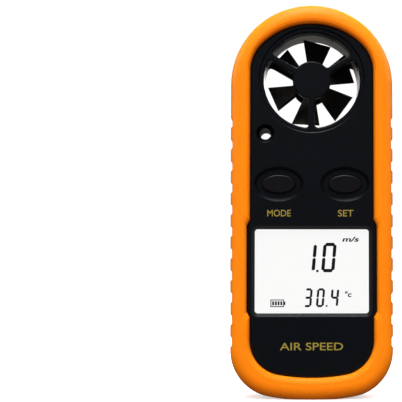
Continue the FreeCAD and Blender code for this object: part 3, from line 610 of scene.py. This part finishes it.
@dataclass
class CoverMarks(SubAssembly):
    """Marks printed on the back, which show when the battery cover is shut and when it comes off."""

    face_node: str = "back_shell"
    marks: dict[str, tuple[Mark, float, float, float]] = field(default_factory=dict)
    axis_z_mm: float = 33.0
    film_mm: float = 0.06
    ring_mm: float = 0.35

    def mark(self, name: str, shape: Mark, radius_mm: float, turn_deg: float,
             size_mm: float) -> bpy.types.Object:
        """Makes one mark as a thin raised print.

        Args:
            name: The piece's name.
            shape: Its shape.
            radius_mm: How far it lies from the axis of the cover.
            turn_deg: How far round it lies, from the top, the way the cover opens.
            size_mm: The distance from its middle to its corners.

        Returns:
            The mark, at the origin.
        """
        corners, open_middle = shape.value
        turn = math.radians(turn_deg)
        start_clean()
        bpy.ops.mesh.primitive_circle_add(vertices=corners, radius=size_mm * MM, fill_type="NGON")
        made = bpy.context.object
        bpy.ops.object.mode_set(mode="EDIT")
        bpy.ops.mesh.select_all(action="SELECT")
        if open_middle:
            bpy.ops.mesh.inset(thickness=self.ring_mm * MM)
            bpy.ops.mesh.delete(type="FACE")
        bpy.ops.object.mode_set(mode="OBJECT")
        made.rotation_euler = (-math.pi / 2, turn, 0.0)
        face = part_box(self.face_node)[1].y + self.film_mm * MM
        made.location = (radius_mm * MM * math.sin(turn), face,
                         (self.axis_z_mm + radius_mm * math.cos(turn)) * MM)
        made = joined([made], name)
        solid = made.modifiers.new("print", "SOLIDIFY")
        solid.thickness = self.film_mm * MM
        bpy.ops.object.modifier_apply(modifier=solid.name)
        return made

    def build(self) -> list[bpy.types.Object]:
        """Prints the marks.

        Returns:
            The marks.
        """
        return [self.add(self.mark(name, *mark), Finishes.INK) for name, mark in self.marks.items()]


# ---- the studio ----------------------------------------------------------------------------
@dataclass(frozen=True)
class SoftBox:
    """One square light; places and sizes in metres, power in watts."""

    name: str
    at: tuple[float, float, float]
    size: float
    power: float
    colour: str = "#FFFFFF"
    shines: bool = True


BOUNCE = "#FF5A1E"
SOFT_BOXES = (
    SoftBox("front_fill", (0.0, -0.9, 0.45), 0.7, 6.3, shines=False),
    SoftBox("top_box", (0.0, -0.04, 0.5), 0.25, 1.3),
    SoftBox("back_fill", (0.15, 0.9, 0.5), 0.6, 5.5),
    SoftBox("low_front", (0.0, -0.6, 0.08), 0.12, 0.8, BOUNCE, shines=False),
    SoftBox("low_back", (0.0, 0.6, 0.08), 0.12, 0.8, BOUNCE, shines=False),
    SoftBox("left_box", (-0.5, 0.1, 0.3), 0.3, 1.0),
    SoftBox("right_box", (0.5, 0.1, 0.3), 0.3, 1.0),
)


@dataclass
class Studio:
    """The pale floor, the soft lights and the camera."""

    camera_at_mm: tuple[float, float, float] = (-5.4, -312.0, 36.0)
    camera_tilt_deg: float = 3.06
    camera_turn_deg: float = -1.0
    lens_mm: float = 103.1
    sensor_mm: float = 36.0
    nearest: float = 0.01
    shift: tuple[float, float] = (-0.275, 0.0)
    floor_size: float = 6.0
    sun_strength: float = 2.2
    sun_tilt_deg: float = 32.0
    sun_turn_deg: float = -8.0
    sun_spread_deg: float = 30.0
    boxes_aim_at: tuple[float, float, float] = (0.0, 0.0, 0.055)
    fill_strength: float = 0.12
    white_strength: float = 1.05

    def build(self) -> None:
        """Makes the whole studio, with colours shown as they are."""
        bpy.context.scene.view_settings.view_transform = "Standard"
        self.floor()
        self.world()
        self.lights()
        self.camera()

    def floor(self) -> None:
        """Lays the floor as one plane. Subdivided once so that it is not a bare quad."""
        start_clean()
        bpy.ops.mesh.primitive_plane_add(size=self.floor_size)
        ground = bpy.context.object
        ground.name = "studio_floor"
        paper = EvenGlow("Seamless_paper_white", "#FFFFFF", 0.8, shine=0.1, glow=0.5, unlit="#F4F4F2")
        ground.data.materials.append(paper.material())
        ground.visible_diffuse = False
        ground.visible_glossy = False

    def world(self) -> None:
        """Makes the room: white where it is seen directly, dim where it only fills the shadows."""
        room = bpy.data.worlds.new("studio_room")
        bpy.context.scene.world = room
        room.use_nodes = True
        tree = room.node_tree
        tree.nodes.clear()
        seen = add_node(tree, "ShaderNodeLightPath", {}).outputs["Is Camera Ray"]
        fill = add_node(tree, "ShaderNodeBackground", {"Color": linear("#F2F4F6"),
                                                        "Strength": self.fill_strength})
        white = add_node(tree, "ShaderNodeBackground", {"Color": linear("#FFFFFF"),
                                                         "Strength": self.white_strength})
        mix = add_node(tree, "ShaderNodeMixShader", {0: seen, 1: fill.outputs[0], 2: white.outputs[0]})
        add_node(tree, "ShaderNodeOutputWorld", {"Surface": mix.outputs[0]})

    def lights(self) -> None:
        """Hangs a broad overhead light and the soft boxes, which all face the meter's middle."""
        sun = bpy.data.lights.new("overhead", "SUN")
        sun.energy = self.sun_strength
        sun.angle = math.radians(self.sun_spread_deg)
        lamp = bpy.data.objects.new("overhead", sun)
        lamp.rotation_euler = (math.radians(self.sun_tilt_deg), 0.0, math.radians(self.sun_turn_deg))
        bpy.context.collection.objects.link(lamp)
        for box in SOFT_BOXES:
            area = bpy.data.lights.new(box.name, "AREA")
            area.size = box.size
            area.energy = box.power
            area.color = linear(box.colour)[:3]
            lamp = bpy.data.objects.new(box.name, area)
            lamp.visible_glossy = box.shines
            lamp.location = box.at
            aim = Vector(self.boxes_aim_at) - Vector(box.at)
            lamp.rotation_euler = aim.to_track_quat("-Z", "Y").to_euler()
            bpy.context.collection.objects.link(lamp)

    def camera(self) -> None:
        """Places the camera in front of the meter, a little below its middle, looking slightly up."""
        lens = bpy.data.cameras.new("camera")
        lens.lens = self.lens_mm
        lens.sensor_width = self.sensor_mm
        lens.shift_x, lens.shift_y = self.shift
        lens.clip_start = self.nearest
        eye = bpy.data.objects.new("camera", lens)
        eye.location = Vector(self.camera_at_mm) * MM
        eye.rotation_euler = (math.radians(90.0 + self.camera_tilt_deg), 0.0,
                              math.radians(self.camera_turn_deg))
        bpy.context.collection.objects.link(eye)
        bpy.context.scene.camera = eye


# ---- the meter -----------------------------------------------------------------------------
# Width, height, stroke and gap of the large and of the small digits, in millimetres.
BIG = (2.66, 6.95, 0.9, 0.16)
SMALL = (1.5, 4.42, 0.6, 0.12)


def meter() -> list[SubAssembly]:
    """Lists the meter's sub-assemblies.

    Returns:
        The sub-assemblies, from the outside in.
    """
    return [
        SubAssembly("case", {Finishes.GRIP: ["grip_sleeve"]}),
        Shells("case", {Finishes.CASE: ["front_shell", "back_shell"], Finishes.STEEL: ["case_screws"]},
               labels={
                   "mode_label": Lettering("MODE", -8.7, 49.05, 1.75, 6.2),
                   "set_label": Lettering("SET", 8.95, 49.05, 1.75, 4.1),
                   "air_speed_label": Lettering("AIR SPEED", -0.1, 13.95, 2.0, 16.6),
               }),
        SubAssembly("case", {Finishes.CASE: ["front_cage", "back_cage"], Finishes.LINER: ["duct_liner"],
                             Finishes.BRASS: ["front_bearing", "back_bearing"],
                             Finishes.CHIP: ["spin_sensor", "thermistor"],
                             Finishes.WIRE: ["sensor_leads", "thermistor_leads"]}),
        SubAssembly("vane", {Finishes.VANE: ["vane"], Finishes.STEEL: ["vane_axle"],
                             Finishes.MAGNET: ["vane_magnet"]}),
        Display("case", {Finishes.WINDOW: ["display_window"], Finishes.DISPLAY: ["display_glass"],
                         Finishes.WHITE: ["display_holder", "backlight_panel"],
                         Finishes.SILICONE: ["contact_strips"]},
                digits=[Digit("1", -0.645, 37.3, *BIG), Digit("0", 4.58, 37.34, *BIG),
                        Digit("3", -0.965, 26.67, *SMALL), Digit("0", 2.325, 26.67, *SMALL),
                        Digit("4", 6.095, 26.67, *SMALL)],
                points=[(1.5, 33.75, 0.62), (3.95, 24.5, 0.46)],
                units=[Lettering("m/s", 10.35, 42.2, 1.35, 4.5, weight=0.03, slant=0.2),
                       Lettering("\u00b0c", 9.7, 27.6, 1.6, 1.75, weight=0.03, slant=0.1)]),
        SubAssembly("mode_key", {Finishes.KEY: ["mode_key"], Finishes.WHITE: ["mode_plunger"]}),
        SubAssembly("set_key", {Finishes.KEY: ["set_key"], Finishes.WHITE: ["set_plunger"]}),
        SubAssembly("case", {Finishes.CHIP: ["key_switches", "controller_chip", "small_components"],
                             Finishes.BOARD: ["circuit_board"],
                             Finishes.STEEL: ["board_screws", "clock_crystal", "coin_cell"],
                             Finishes.BRASS: ["positive_contact", "negative_contact"]}),
        CoverMarks("case", {}, marks={"shut_mark": (Mark.DOT, 14.0, 0.0, 0.7),
                                      "open_mark": (Mark.RING, 14.0, 60.0, 0.8)}),
        CoverMarks("battery_cover", {Finishes.CASE: ["battery_cover"], Finishes.SILICONE: ["cover_seal"]},
                   face_node="battery_cover", marks={"cover_pointer": (Mark.POINTER, 9.4, 0.0, 1.0)}),
    ]


def main() -> None:
    """Builds the meter and the studio in order."""
    logging.basicConfig(level=logging.INFO, format="%(name)s: %(message)s")
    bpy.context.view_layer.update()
    start_clean()
    for part in meter():
        part.dress_nodes()
        part.build()
    Studio().build()


if __name__ == "__main__":
    main()
